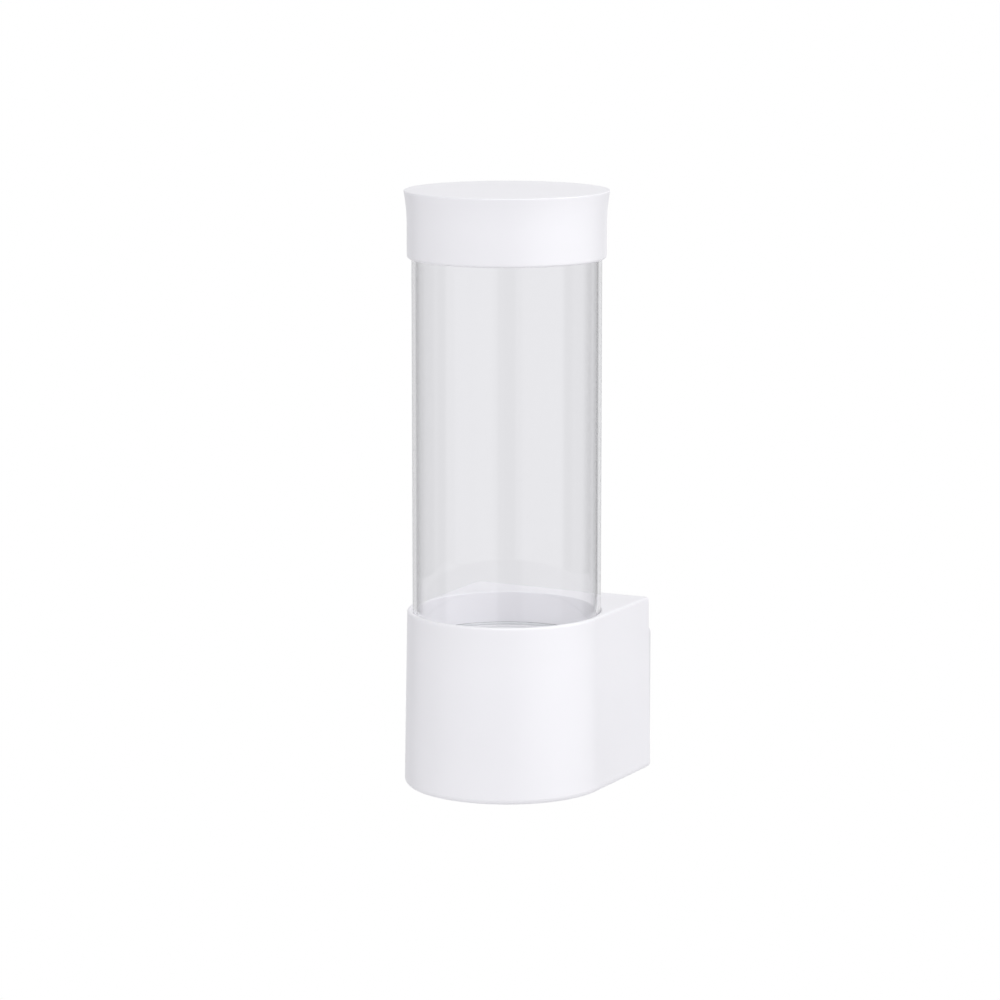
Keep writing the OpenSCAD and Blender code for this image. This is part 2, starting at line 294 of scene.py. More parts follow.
def ranged(tree, value, low, high, out_low, out_high):
    """A value carried from one range to another, held at its ends."""
    return node(tree, "ShaderNodeMapRange", {"clamp": True}, Value=value, From_Min=low, From_Max=high,
                To_Min=out_low, To_Max=out_high).outputs[0]


def moulded_skin_group():
    """Fine spark-eroded grain of a moulded skin, with a slow drift in shade over the piece."""
    group, start, end = new_group(
        "moulded_skin",
        [("Vector", "NodeSocketVector", None), ("Grain Scale", "NodeSocketFloat", 2600.0),
         ("Drift Scale", "NodeSocketFloat", 14.0)],
        [("Grain", "NodeSocketFloat"), ("Drift", "NodeSocketFloat")])
    grain = node(group, "ShaderNodeTexNoise", None, Vector=start.outputs["Vector"],
                 Scale=start.outputs["Grain Scale"], Detail=3.0, Roughness=0.6)
    drift = node(group, "ShaderNodeTexNoise", None, Vector=start.outputs["Vector"],
                 Scale=start.outputs["Drift Scale"], Detail=2.0, Roughness=0.45)
    group.links.new(grain.outputs["Fac"], end.inputs["Grain"])
    group.links.new(drift.outputs["Fac"], end.inputs["Drift"])
    return group


def handling_group():
    """Faint matt smudges where hands take hold, as soft blots broken up by finer noise."""
    group, start, end = new_group(
        "handling", [("Vector", "NodeSocketVector", None), ("Blot Scale", "NodeSocketFloat", 38.0)],
        [("Smudge", "NodeSocketFloat")])
    blots = node(group, "ShaderNodeTexNoise", None, Vector=start.outputs["Vector"],
                 Scale=start.outputs["Blot Scale"], Detail=1.0)
    streaks = node(group, "ShaderNodeTexNoise", None, Vector=start.outputs["Vector"],
                   Scale=420.0, Detail=4.0, Roughness=0.7)
    blot = ranged(group, blots.outputs["Fac"], 0.54, 0.72, 0.0, 1.0)
    broken = ranged(group, streaks.outputs["Fac"], 0.35, 0.65, 0.25, 1.0)
    group.links.new(maths(group, "MULTIPLY", blot, broken), end.inputs["Smudge"])
    return group


def hairline_group():
    """Hairline scratches along the piece, as noise stretched a long way in Z."""
    group, start, end = new_group(
        "hairlines", [("Vector", "NodeSocketVector", None), ("Length", "NodeSocketFloat", 0.02)],
        [("Line", "NodeSocketFloat")])
    stretch = node(group, "ShaderNodeCombineXYZ", None, X=1.0, Y=1.0, Z=start.outputs["Length"])
    along = node(group, "ShaderNodeVectorMath", {"operation": "MULTIPLY"},
                 i0=start.outputs["Vector"], i1=stretch.outputs[0])
    lines = node(group, "ShaderNodeTexNoise", None, Vector=along.outputs[0], Scale=5200.0,
                 Detail=2.0, Roughness=0.5)
    group.links.new(ranged(group, lines.outputs["Fac"], 0.62, 0.78, 0.0, 1.0), end.inputs["Line"])
    return group


MOULDED = moulded_skin_group()
HANDLING = handling_group()
HAIRLINES = hairline_group()


def new_material(name):
    """A node material; returns it with its tree, its Principled shader and Object coordinates."""
    material = bpy.data.materials.new(name)
    material.use_nodes = True
    tree = material.node_tree
    shader = tree.nodes["Principled BSDF"]
    where = tree.nodes.new("ShaderNodeTexCoord").outputs["Object"]
    return material, tree, shader, where


def placed_group(tree, group, vector, **values):
    """A node group placed in a material, with its own values."""
    made = tree.nodes.new("ShaderNodeGroup")
    made.node_tree = group
    tree.links.new(vector, made.inputs["Vector"])
    for key, value in values.items():
        made.inputs[key.replace("_", " ")].default_value = value
    return made


def bumped(tree, shader, depth, *heights):
    """Feeds heights into the shader's normal, each bump on top of the last; depth is in metres."""
    normal = None
    for share, value in heights:
        bump = node(tree, "ShaderNodeBump", None, Height=value, Strength=share, Distance=depth)
        if normal is not None:
            tree.links.new(normal, bump.inputs["Normal"])
        normal = bump.outputs["Normal"]
    tree.links.new(normal, shader.inputs["Normal"])


def mixed_colour(tree, factor, first, second):
    """A colour between two, by a factor socket. A Mix node keeps its two colours at inputs 6 and
    7, and the mixed one at output 2."""
    made = node(tree, "ShaderNodeMix", {"data_type": "RGBA"})
    tree.links.new(factor, made.inputs[0])
    made.inputs[6].default_value = (*first, 1)
    made.inputs[7].default_value = (*second, 1)
    return made.outputs[2]


def plastic(name, light, dark, roughness, grain_scale=2600.0, grain_depth=2e-5, glow=0.0):
    """Moulded plastic: drifting shade, fine grain in the normal, smudges in the roughness. Glow
    is how much of the light goes through the skin, as it does in thin white walls."""
    smudge = 0.06
    material, tree, shader, where = new_material(name)
    skin = placed_group(tree, MOULDED, where, Grain_Scale=grain_scale)
    marks = placed_group(tree, HANDLING, where)
    shade = ranged(tree, skin.outputs["Drift"], 0.35, 0.65, 0.0, 1.0)
    tree.links.new(mixed_colour(tree, shade, dark, light), shader.inputs["Base Color"])
    rough = ranged(tree, marks.outputs["Smudge"], 0.0, 1.0, roughness, roughness + smudge)
    grain_share = maths(tree, "MULTIPLY_ADD", skin.outputs["Grain"], 0.08, -0.04)
    tree.links.new(maths(tree, "ADD", rough, grain_share), shader.inputs["Roughness"])
    shader.inputs["Subsurface Weight"].default_value = glow
    shader.inputs["Subsurface Radius"].default_value = (1.0, 1.0, 1.0)
    shader.inputs["Subsurface Scale"].default_value = 0.001
    bumped(tree, shader, grain_depth, (0.35, skin.outputs["Grain"]))
    return material


def clear_acrylic():
    """Extruded acrylic: clear and glossy, with hairline scratches and faint wiping marks."""
    material, tree, shader, where = new_material("clear_acrylic")
    lines = placed_group(tree, HAIRLINES, where, Length=0.015)
    marks = placed_group(tree, HANDLING, where, Blot_Scale=24.0)
    worn = maths(tree, "MULTIPLY", lines.outputs["Line"], 0.05)
    wiped = maths(tree, "MULTIPLY_ADD", marks.outputs["Smudge"], 0.02, 0.012)
    tree.links.new(maths(tree, "ADD", worn, wiped), shader.inputs["Roughness"])
    shader.inputs["Base Color"].default_value = (0.994, 0.993, 1.0, 1)
    shader.inputs["IOR"].default_value = 1.49
    shader.inputs["Transmission Weight"].default_value = 1.0
    bumped(tree, shader, 2e-6, (0.15, lines.outputs["Line"]))
    return material


def steel(name, light, dark, roughness):
    """Plated or drawn steel: fine drawing lines and a slow change of tone."""
    material, tree, shader, where = new_material(name)
    lines = placed_group(tree, HAIRLINES, where, Length=0.2)
    skin = placed_group(tree, MOULDED, where, Grain_Scale=3400.0, Drift_Scale=120.0)
    tree.links.new(mixed_colour(tree, skin.outputs["Drift"], dark, light), shader.inputs["Base Color"])
    shader.inputs["Metallic"].default_value = 1.0
    rough = maths(tree, "MULTIPLY_ADD", lines.outputs["Line"], 0.12, roughness)
    tree.links.new(rough, shader.inputs["Roughness"])
    bumped(tree, shader, 1e-5, (0.3, lines.outputs["Line"]), (0.2, skin.outputs["Grain"]))
    return material


def silicone():
    """Soft translucent ring: milky, matt, with a fine bloom."""
    material, tree, shader, where = new_material("milky_silicone")
    skin = placed_group(tree, MOULDED, where, Grain_Scale=1500.0, Drift_Scale=60.0)
    tree.links.new(mixed_colour(tree, skin.outputs["Drift"], (0.66, 0.68, 0.7), (0.78, 0.79, 0.81)),
                   shader.inputs["Base Color"])
    rough = ranged(tree, skin.outputs["Grain"], 0.3, 0.7, 0.42, 0.58)
    tree.links.new(rough, shader.inputs["Roughness"])
    shader.inputs["Subsurface Weight"].default_value = 0.25
    shader.inputs["Subsurface Radius"].default_value = (1.0, 1.0, 1.0)
    shader.inputs["Subsurface Scale"].default_value = 0.0008
    bumped(tree, shader, 3e-5, (0.4, skin.outputs["Grain"]))
    return material


def closed_cell_foam():
    """Foam strip: rounded open cells at the cut face, as a bumped cell pattern with painted shade
    darkening the pits.
    """
    material, tree, shader, where = new_material("closed_cell_foam")
    cells = node(tree, "ShaderNodeTexVoronoi", None, Vector=where, Scale=1500.0)
    skin = placed_group(tree, MOULDED, where, Grain_Scale=900.0, Drift_Scale=45.0)
    pit_and_painted_shade = ranged(tree, cells.outputs["Distance"], 0.0, 0.55, 0.0, 1.0)
    # Painted shade: each cell's pit is coloured darker, as if shade fell into it
    tree.links.new(mixed_colour(tree, pit_and_painted_shade, (0.5, 0.51, 0.53), (0.72, 0.73, 0.75)),
                   shader.inputs["Base Color"])
    rough = ranged(tree, skin.outputs["Drift"], 0.3, 0.7, 0.78, 0.92)
    tree.links.new(rough, shader.inputs["Roughness"])
    bumped(tree, shader, 1.5e-4, (0.7, pit_and_painted_shade), (0.2, skin.outputs["Grain"]))
    return material


WHITE_SHELL = plastic("white_moulded_shell", (0.905, 0.898, 0.922), (0.88, 0.873, 0.896), 0.32,
                      glow=0.1)
INNER_WHITE = plastic("inner_white_plastic", (0.9, 0.9, 0.91), (0.87, 0.87, 0.88), 0.42,
                      grain_scale=1800.0, grain_depth=3e-5)
BRACKET_WHITE = plastic("bracket_plastic", (0.8, 0.8, 0.815), (0.77, 0.77, 0.785), 0.5,
                        grain_scale=1500.0, grain_depth=4e-5)
CLAW_GREY = plastic("claw_plastic", (0.62, 0.64, 0.66), (0.58, 0.6, 0.62), 0.36,
                    grain_scale=3000.0)
ACRYLIC = clear_acrylic()
PLATED_STEEL = steel("plated_steel", (0.72, 0.73, 0.75), (0.6, 0.61, 0.63), 0.28)
SPRING_WIRE = steel("drawn_spring_wire", (0.62, 0.63, 0.65), (0.5, 0.51, 0.53), 0.22)
SILICONE = silicone()
FOAM = closed_cell_foam()


# ---------------------------------------------------------------- tube, lid and rings

def make_tube():
    """Clear tube: a flat-sided ring section with a broken edge at each rim, turned."""
    broken = 0.25
    outline = rounded([(TUBE_R, TUBE_Z, broken), (TUBE_R, TUBE_TOP, broken),
                       (TUBE_BORE, TUBE_TOP, broken), (TUBE_BORE, TUBE_Z, broken)])
    piece = turned_piece("clear_tube", outline, "tube", ACRYLIC, ["tube"], 288)
    # Clear acrylic hardly shades what is near it, so it stays out of shadows and diffuse light
    piece.visible_shadow = False
    piece.visible_diffuse = False


def make_lid():
    """Flared lid: the skirt is upright, then an arc tangent to it leans out to the rim, with a
    radius of flare height squared plus lean squared over twice the lean. The outline runs over
    the top, down the flare and skirt, and back inside round the spigot that enters the tube."""
    flare_h = 15.0
    rim_r = LID_RIM_R - 0.02
    rim_drop = 0.6
    lean = LID_RIM_R - LID_R
    arc_r = (flare_h ** 2 + lean ** 2) / (2 * lean)
    rise = np.linspace(flare_h - rim_drop, 0, 14)
    flare = np.stack([LID_R + arc_r - np.sqrt(arc_r ** 2 - rise ** 2), LID_TOP - flare_h + rise], 1)
    top = rounded([(0, LID_TOP, 0), (rim_r, LID_TOP, 0.5), (*flare[0], 0)], closed=False)

    hem_round = 1.3
    edge = 0.3
    skirt_in = TUBE_R + SLIP
    spigot_r = TUBE_BORE - SLIP
    spigot_in = spigot_r - 1.6
    spigot_z = LID_UNDER - 7.0
    skirt = rounded([(*flare[-1], 0), (LID_R, LID_Z, hem_round), (skirt_in, LID_Z, edge),
                     (skirt_in, LID_UNDER, edge), (spigot_r, LID_UNDER, edge),
                     (spigot_r, spigot_z, 0.5), (spigot_in, spigot_z, 0.5),
                     (spigot_in, LID_UNDER, 1.0), (0, LID_UNDER, 0)], closed=False)
    outline = np.vstack([top[:-1], flare, skirt[1:]])
    turned_piece("flared_lid", outline, "lid", WHITE_SHELL, ["lid"], 256)


def make_ring(name, node_name, body, r_out, r_in):
    """Soft ring of rectangular section with rounded edges, turned; its height is the node's."""
    edge = 0.3
    low, high = edges_of(node_name)
    z0, z1 = height(low[2]), height(high[2])
    outline = rounded([(r_out, z0, edge), (r_out, z1, edge), (r_in, z1, edge), (r_in, z0, edge)])
    turned_piece(name, outline, body, SILICONE, [node_name])


def make_guide():
    """Cup guide: a sleeve whose bore narrows downwards, with a foot flange, turned."""
    edge = 0.3
    low, high = edges_of("cup_guide")
    z0, z1 = height(low[2]), height(high[2])
    foot_r = (high[1] - low[1]) / 2 / MM
    foot_top = z0 + 2.0
    sleeve_r = TUBE_R - 0.8
    bore_top = TUBE_BORE - 0.2
    outline = rounded([(OUTLET_R, z0, edge), (foot_r, z0, edge), (foot_r, foot_top, edge),
                       (sleeve_r, foot_top, 0.5), (sleeve_r, z1, edge), (bore_top, z1, 0.4)])
    turned_piece("cup_guide_sleeve", outline, "base", INNER_WHITE, ["cup_guide"])


# ---------------------------------------------------------------- housing

# Plan of the shell: the rear corner's radius, and the steps round it, along a side, round the
# front and across the back
CORNER = 1.6
CORNER_STEPS = 6
SIDE_STEPS = 12
FRONT_STEPS = 128
BACK_STEPS = 25

# Screw posts at the rear and the webs that hold them: a web runs this far into its post and
# stands back this far from the post's ends. They carry the back cover and its screws.
POST_R = 3.2
POST_L = 13.0
WEB_T = 2.4
WEB_BITE = 0.7
WEB_BACK = 0.3
COVER_T = 2.0
COVER_HEAD_R = 2.4
COVER_SCREW_R = 1.25

# Countersunk holes in the floor for the claw ring's screws, and their distance from the axis
SINK_R = 1.85
SINK_DEPTH = 1.0
RING_HOLE_R = 1.05
RING_SCREWS_R = (OUTLET_R + TUBE_R + 0.6) / 2 + 0.15


def half_width(z):
    """Half the housing's width at a height: a straight line from the foot to the deck."""
    return FOOT_R + (TOP_R - FOOT_R) * np.asarray(z, float) / BASE_H


def fall_back(depth, radius):
    """How far a quarter circle falls back at a depth into it: the radius, less the root of radius
    squared less depth squared; nothing before it starts."""
    depth = np.clip(depth, 0, radius)
    return radius - np.sqrt(radius ** 2 - depth ** 2)


def housing_levels():
    """Heights down the outer skin, and at each the half width and where the back stands. The
    deck's edge and the foot are quarter circles, and the foot's is smaller at the back."""
    edge = DECK_ROUND * np.sin(np.radians(np.linspace(90, 0, 7)))
    foot = FOOT_ROUND * np.sin(np.radians(np.linspace(0, 90, 9)))
    wall = np.linspace(DECK_UNDER, FLOOR_T + 1.5, 14)
    heights = np.concatenate([BASE_H - DECK_ROUND + edge, wall, [FLOOR_T], FOOT_ROUND - foot])
    heights = np.unique(heights.round(6))[::-1]
    at_deck = fall_back(heights - (BASE_H - DECK_ROUND), DECK_ROUND)
    widths = half_width(heights) - at_deck - fall_back(FOOT_ROUND - heights, FOOT_ROUND)
    backs = BASE_BACK - at_deck - fall_back(REAR_FOOT_ROUND - heights, REAR_FOOT_ROUND)
    return heights, widths, backs


def plan_outside(w, back):
    """Plan of the outer skin at half width w: a small arc at the rear left corner, straight
    forward, a half circle of radius w about the axis, and the same back on the right."""
    t = np.radians(np.linspace(90, 180, CORNER_STEPS + 1))
    corner = np.stack([CORNER - w + CORNER * np.cos(t), back - CORNER + CORNER * np.sin(t)], 1)
    side_y = np.linspace(back - CORNER, 0, SIDE_STEPS + 1)[1:-1]
    side = np.stack([np.full_like(side_y, -w), side_y], 1)
    a = np.radians(np.linspace(180, 360, FRONT_STEPS + 1))
    front = np.stack([w * np.cos(a), w * np.sin(a)], 1)
    left = np.vstack([corner, side])
    return np.vstack([left, front, left[::-1] * [-1, 1]])


def plan_inside(w):
    """Plan of the inner skin at half width w, point for point beside the outer one."""
    y = np.concatenate([np.linspace(BASE_BACK, BASE_BACK - CORNER, CORNER_STEPS + 1),
                        np.linspace(BASE_BACK - CORNER, 0, SIDE_STEPS + 1)[1:-1]])
    left = np.stack([np.full_like(y, -w), y], 1)
    a = np.radians(np.linspace(180, 360, FRONT_STEPS + 1))
    front = np.stack([w * np.cos(a), w * np.sin(a)], 1)
    return np.vstack([left, front, left[::-1] * [-1, 1]])


def back_line(w, share, back=BASE_BACK):
    """Points along the open back from right to left, as shares of the outer corner's x."""
    x = (w - CORNER) * share
    return np.stack([x, np.full_like(x, back)], 1)


def at_height(plan, z):
    """A plan lifted to a height."""
    return np.column_stack([plan, np.full(len(plan), float(z))])


def outer_ring(w, z, share, back=BASE_BACK):
    """The outer plan and the line across the back as one closed ring, at a height."""
    return np.vstack([at_height(plan_outside(w, back), z), at_height(back_line(w, share, back), z)])


def inner_ring(w, z):
    """The inner plan and the line across the back as one closed ring, at a height."""
    back = back_line(w, np.linspace(1, -1, BACK_STEPS) * w / (w - CORNER))
    return np.vstack([at_height(plan_inside(w), z), at_height(back, z)])


def circle_row(radius, z, angles):
    """A ring of points at given angles about the axis."""
    return at_height(np.column_stack([radius * np.cos(angles), radius * np.sin(angles)]), z)


def between(first, second, steps):
    """Rows from one ring to another, the first ring left out."""
    t = np.linspace(0, 1, steps + 1)[1:, None, None]
    return list(first + (second - first) * t)


def deck_rows(border, inside, angles):
    """Deck: top face, rounded lip, socket, ledge, collar and underside, as rings that lead from
    the outer skin's upper border to the inner skin's."""
    lip = 0.5
    rows = [border] + between(border, circle_row(SOCKET_R + lip, BASE_H, angles), 5)
    rows += [circle_row(SOCKET_R + lip - lip * math.sin(a), BASE_H - lip + lip * math.cos(a), angles)
             for a in np.radians([22.5, 45, 67.5, 90])]
    section = rounded([(SOCKET_R, BASE_H - lip, 0), (SOCKET_R, LEDGE_Z, 0.3),
                       (TUBE_BORE, LEDGE_Z, 0.3), (TUBE_BORE, LEDGE_Z - LEDGE_T, 0.3),
                       (COLLAR_R, LEDGE_Z - LEDGE_T, 0.5), (COLLAR_R, DECK_UNDER, 0)], closed=False)
    rows += [circle_row(r, z, angles) for r, z in section[1:]]
    return rows + between(rows[-1], inside, 4)


def floor_rows(border, inside, angles):
    """Floor: underside, rounded outlet and top face, as rings that lead from the outer skin's
    lower border to the inner skin's."""
    mouth_r = OUTLET_R + 0.8
    rows = [border] + between(border, circle_row(mouth_r, 0, angles), 5)
    section = rounded([(mouth_r, 0, 0), (OUTLET_R, 0, 0.7), (OUTLET_R, FLOOR_T, 0.5),
                       (OUTLET_R + 1, FLOOR_T, 0)], closed=False)
    rows += [circle_row(r, z, angles) for r, z in section[1:]]
    return rows + between(rows[-1], inside, 5)


def back_edge(levels, share):
    """Rear edge of the deck or the floor: a row from side to side for each of its levels."""
    across = np.concatenate([[1], share, [-1]])
    return [at_height(back_line(w, across, back), z) for w, back, z in levels]


def make_housing():
    """D-shaped shell: outer and inner skins carried round the plan, deck and floor as grids
    between the plan and a round opening, each sharing its border points with its neighbours."""
    heights, widths, backs = housing_levels()
    levels = list(zip(widths, backs, heights))
    inner_top, inner_low = half_width(np.array([DECK_UNDER, FLOOR_T])) - SHELL_WALL
    spread = np.linspace(1, -1, BACK_STEPS)
    share_top = spread * inner_top / (half_width(DECK_UNDER) - CORNER)
    share_low = spread * inner_low / (widths[heights == FLOOR_T][0] - CORNER)
    middle = outer_ring(float(half_width(BASE_H / 2)), 0, share_top)
    angles = np.arctan2(middle[:, 1], middle[:, 0])

    outside = [at_height(plan_outside(w, back), z) for w, back, z in levels]
    deck = deck_rows(outer_ring(widths[0], BASE_H, share_top, backs[0]),
                     inner_ring(inner_top, DECK_UNDER), angles)
    floor = floor_rows(outer_ring(widths[-1], 0, share_low, backs[-1]),
                       inner_ring(inner_low, FLOOR_T), angles)

    # Heights were rounded, so they are compared with a little room
    room = 1e-6
    deck_edge = back_edge([level for level in levels if level[2] >= DECK_UNDER - room], share_top)
    floor_edge = back_edge([level for level in levels if level[2] <= FLOOR_T + room], share_low)

    # Inner skin from deck to floor, and the ends of the side walls between the two skins
    tall = (heights <= DECK_UNDER + room) & (heights >= FLOOR_T - room)
    t = (heights[tall] - DECK_UNDER) / (FLOOR_T - DECK_UNDER)
    inside = [at_height(plan_inside(w), z)
              for w, z in zip(inner_top + (inner_low - inner_top) * t, heights[tall])]
    beside = [row for row, keep in zip(outside, tall) if keep]
    ends = [[np.stack([out[i], into[i]]) for out, into in zip(beside, inside)] for i in (0, -1)]

    points, faces, count = [], [], 0
    for rows, closed in [(outside, False), (inside, False), (deck, True), (floor, True),
                         (deck_edge, False), (floor_edge, False), (ends[0], False), (ends[1], False)]:
        grid = np.stack(rows)
        points.append(grid.reshape(-1, 3))
        faces += (grid_faces(len(grid), grid.shape[1], around=closed) + count).tolist()
        count += grid.shape[0] * grid.shape[1]
    shell = add_piece("base_housing", placed(np.vstack(points)), faces, "base",
                      WHITE_SHELL, ["housing"])
    sink_screw_holes(shell)
    add_shapes(shell.data, rear_posts())
    even_normals(shell)


def post_pipe(x, z, front, back):
    """Points and faces of a screw post: a square ring section turned, its height laid along Y."""
    section = np.array([[COVER_SCREW_R, front], [POST_R, front],
                        [POST_R, back], [COVER_SCREW_R, back]])
    points, faces = turned(section, 40)
    return points[:, [0, 2, 1]] + [x, 0, z], faces.tolist()


def block(low, high):
    """Points and faces of a closed block: two square rows, joined round the sides and capped."""
    x = np.array([low[0], high[0], high[0], low[0]])
    y = np.array([low[1], low[1], high[1], high[1]])
    points = np.vstack([np.column_stack([x, y, np.full(4, z)]) for z in (low[2], high[2])])
    return points, grid_faces(2, 4, around=True).tolist() + [[0, 1, 2, 3], [7, 6, 5, 4]]


def rear_posts():
    """The four rear screw posts, each with a web that runs into the side wall."""
    low, high = edges_of("back_cover_screws")
    post_x = high[0] / MM - COVER_HEAD_R
    front, back = BASE_BACK - COVER_T - POST_L, BASE_BACK - COVER_T
    shapes = []
    for side in (-1, 1):
        for z in (height(low[2]) + COVER_HEAD_R, height(high[2]) - COVER_HEAD_R):
            shapes.append(post_pipe(side * post_x, z, front, back))
            at_post = side * (post_x + POST_R - WEB_BITE)
            in_wall = side * (float(half_width(z)) - SHELL_WALL / 2)
            left, right = sorted([at_post, in_wall])
            shapes.append(block((left, front + WEB_BACK, z - WEB_T / 2),
                                (right, back - WEB_BACK, z + WEB_T / 2)))
    return shapes


def add_shapes(mesh, shapes):
    """Adds closed shapes to a finished mesh, their faces outwards."""
    work = bmesh.new()
    work.from_mesh(mesh)
    for points, faces in shapes:
        corners = [work.verts.new(point) for point in placed(points)]
        for face in faces:
            work.faces.new([corners[i] for i in face]).smooth = True
    bmesh.ops.recalc_face_normals(work, faces=work.faces)
    work.to_mesh(mesh)
    work.free()


def sink_screw_holes(shell):
    """Cuts the floor's four countersunk holes; their outline is turned about each screw, and set
    off a little round it, so that none of its edges lies along one of the floor's."""
    over = 0.5
    top = FLOOR_T + over
    sink = np.array([[0, -over], [SINK_R + over, -over], [SINK_R, 0], [RING_HOLE_R, SINK_DEPTH],
                     [RING_HOLE_R, top], [0, top]])
    points, faces = turned(sink, 32)
    offset = math.radians(4)
    points = points @ np.array([[math.cos(offset), math.sin(offset), 0],
                                [-math.sin(offset), math.cos(offset), 0], [0, 0, 1]])
    spots = [np.array([math.cos(a), math.sin(a), 0]) * RING_SCREWS_R
             for a in np.radians([0, 90, 180, 270])]
    mesh = bpy.data.meshes.new("sinks")
    all_points = np.vstack([points + spot for spot in spots])
    all_faces = np.vstack([faces + k * len(points) for k in range(len(spots))])
    mesh.from_pydata(placed(all_points).tolist(), [], all_faces.tolist())
    cleaned(mesh)
    sinks = bpy.data.objects.new("sinks", mesh)
    bpy.context.scene.collection.objects.link(sinks)
    cut = shell.modifiers.new("holes", "BOOLEAN")
    cut.object, cut.operation, cut.solver = sinks, "DIFFERENCE", "EXACT"
    bpy.context.view_layer.update()
    whole = bpy.data.meshes.new_from_object(shell.evaluated_get(bpy.context.evaluated_depsgraph_get()))
    shell.modifiers.remove(cut)
    shell.data = whole
    whole.polygons.foreach_set("use_smooth", [True] * len(whole.polygons))
    bpy.data.objects.remove(sinks)


# ---------------------------------------------------------------- pieces softened from the frame

# Degrees: faces that turn less than the first are one flat face, edges sharper than the second
# are rounded
FLAT_ANGLE = 0.6
EDGE_ANGLE = 30


def softened(name, node_name, body, material, width, segments=3):
    """A copy of a CAD node with its flat faces joined and its edges rounded by a bevel."""
    mesh = NODES[node_name].data.copy()
    mesh.name = name
    mesh.materials.clear()
    work = bmesh.new()
    work.from_mesh(mesh)
    bmesh.ops.remove_doubles(work, verts=work.verts, dist=1e-6)
    bmesh.ops.dissolve_limit(work, angle_limit=math.radians(FLAT_ANGLE), verts=work.verts,
                             edges=work.edges)
    work.to_mesh(mesh)
    work.free()
    piece = finish_piece(name, mesh, body, material, [node_name])
    bevel = piece.modifiers.new("soft_edges", "BEVEL")
    bevel.width, bevel.segments = width * MM, segments
    bevel.limit_method, bevel.angle_limit = "ANGLE", math.radians(EDGE_ANGLE)
    bevel.use_clamp_overlap = True
    even_normals(piece)


# ---------------------------------------------------------------- claws, pins and springs

# Hinge pin, and the spring round it: wire, coil, and its legs up to the base and down the claw,
# the lower one leaning in by LEG_LEAN at its end
PIN_R = 0.8
PIN_L = 21.0
WIRE_R = 0.25
COIL_R = PIN_R + 2 * WIRE_R
COIL_TURNS = 4
COIL_L = 4.2
LEG_UP = 5.0
LEG_DOWN = 7.0
LEG_LEAN = 0.9


def hinge_frame(joint):
    """A claw's hinge point and its directions out, along the pin and up, in the row frame."""
    spot = np.array(joint["pos_m"])
    pin = -np.array(joint["axis"], float)
    up = np.array([0.0, 0.0, 1.0])
    return spot, np.stack([np.cross(pin, up), pin, up])


def make_pin(index, joint):
    """Hinge pin: a round rod with chamfered ends, turned about the hinge's axis."""
    spot, axes = hinge_frame(joint)
    half = PIN_L / 2
    outline = rounded([(0, -half, 0), (PIN_R, -half, 0.2), (PIN_R, half, 0.2), (0, half, 0)],
                      closed=False)
    points, faces = turned(outline, 32)
    local = np.stack([points[:, 0], points[:, 2], points[:, 1]], 1) * MM
    even_normals(add_piece(f"claw_hinge_pin_{index}", spot + local @ axes, faces, "base",
                           PLATED_STEEL, [f"claw_pin_{index}"]))


def make_spring(index, joint):
    """Torsion spring: a leg down to the coil, COIL_TURNS turns of a helix round the pin, and a
    leg on down the claw's back. It rides on no body."""
    spot, axes = hinge_frame(joint)
    a = np.linspace(0, -2 * math.pi * COIL_TURNS, COIL_TURNS * 28 + 1)
    coil = np.stack([COIL_R * np.cos(a), -COIL_L / 2 + COIL_L * np.linspace(0, 1, a.size),
                     COIL_R * np.sin(a)], 1)
    up_z = np.linspace(LEG_UP, 0, 8)[:-1]
    upper = np.stack([np.full_like(up_z, COIL_R), np.full_like(up_z, -COIL_L / 2), up_z], 1)
    t = np.linspace(0, 1, 10)[1:]
    lower = np.stack([COIL_R - LEG_LEAN * t, np.full_like(t, COIL_L / 2), -LEG_DOWN * t], 1)
    points, faces = swept(np.vstack([upper, coil, lower]), WIRE_R)
    piece = add_piece(f"claw_torsion_spring_{index}", spot + (points * MM) @ axes, faces, None,
                      SPRING_WIRE, [f"claw_spring_{index}"])
    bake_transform(piece)


# ---------------------------------------------------------------- build the pieces

make_tube()
make_lid()
make_ring("tube_seat_ring", "tube_seat", "base", SOCKET_R - 0.2, TUBE_BORE + 0.1)
make_ring("lid_seal_ring", "lid_seal", "lid", TUBE_R + 0.15, TUBE_BORE - 0.15)
make_guide()
make_housing()
softened("wall_plate", "wall_bracket", "wall", BRACKET_WHITE, 0.35)
softened("adhesive_foam", "foam_strips", "wall", FOAM, 0.25, 2)
softened("rear_cover", "back_cover", "base", INNER_WHITE, 0.25)
softened("rear_cover_screws", "back_cover_screws", "base", PLATED_STEEL, 0.12, 2)
softened("claw_carrier_ring", "claw_ring", "base", INNER_WHITE, 0.3)
softened("carrier_screws", "claw_ring_screws", "base", PLATED_STEEL, 0.08, 2)
for number in range(1, 5):
    claw = f"claw_{number}"
    hinge = JOINTS[f"{claw}_swing"]
    softened(f"cup_{claw}", claw, claw, CLAW_GREY, 0.35)
    make_pin(number, hinge)
    make_spring(number, hinge)


# ---------------------------------------------------------------- studio

# Camera: bearing to the right of the front and pitch down, in degrees; distance, and the aim's
# height over the base and shift to the left, in metres; lens and sensor width in millimetres
CAMERA_AZIMUTH = 27.4
CAMERA_PITCH = 9.54
CAMERA_DISTANCE = 1.7585
AIM_UP = 0.1283
AIM_LEFT = 0.003
LENS = 142.45
SENSOR = 36.0

# Level of the surroundings, rising towards the side that LIGHT_WAY points to
LIGHT_WAY = (0.86, -0.12, 0.5)
LEVELS = (0.43, 0.84)
LIGHT_COLOUR = (0.982, 0.982, 1.0, 1)

# Softboxes as bearings from the camera's side (right is positive), rises and how much they add
SOFTBOXES = [(22, 68, -18, -2, 0.28), (-77, -15, -18, -2, 0.52), (-126, -98, -18, -2, 0.22),
             (152, 190, -40, 40, 0.27), (-190, -151, -40, 40, 0.28), (-100, 100, 14, 60, 0.43)]

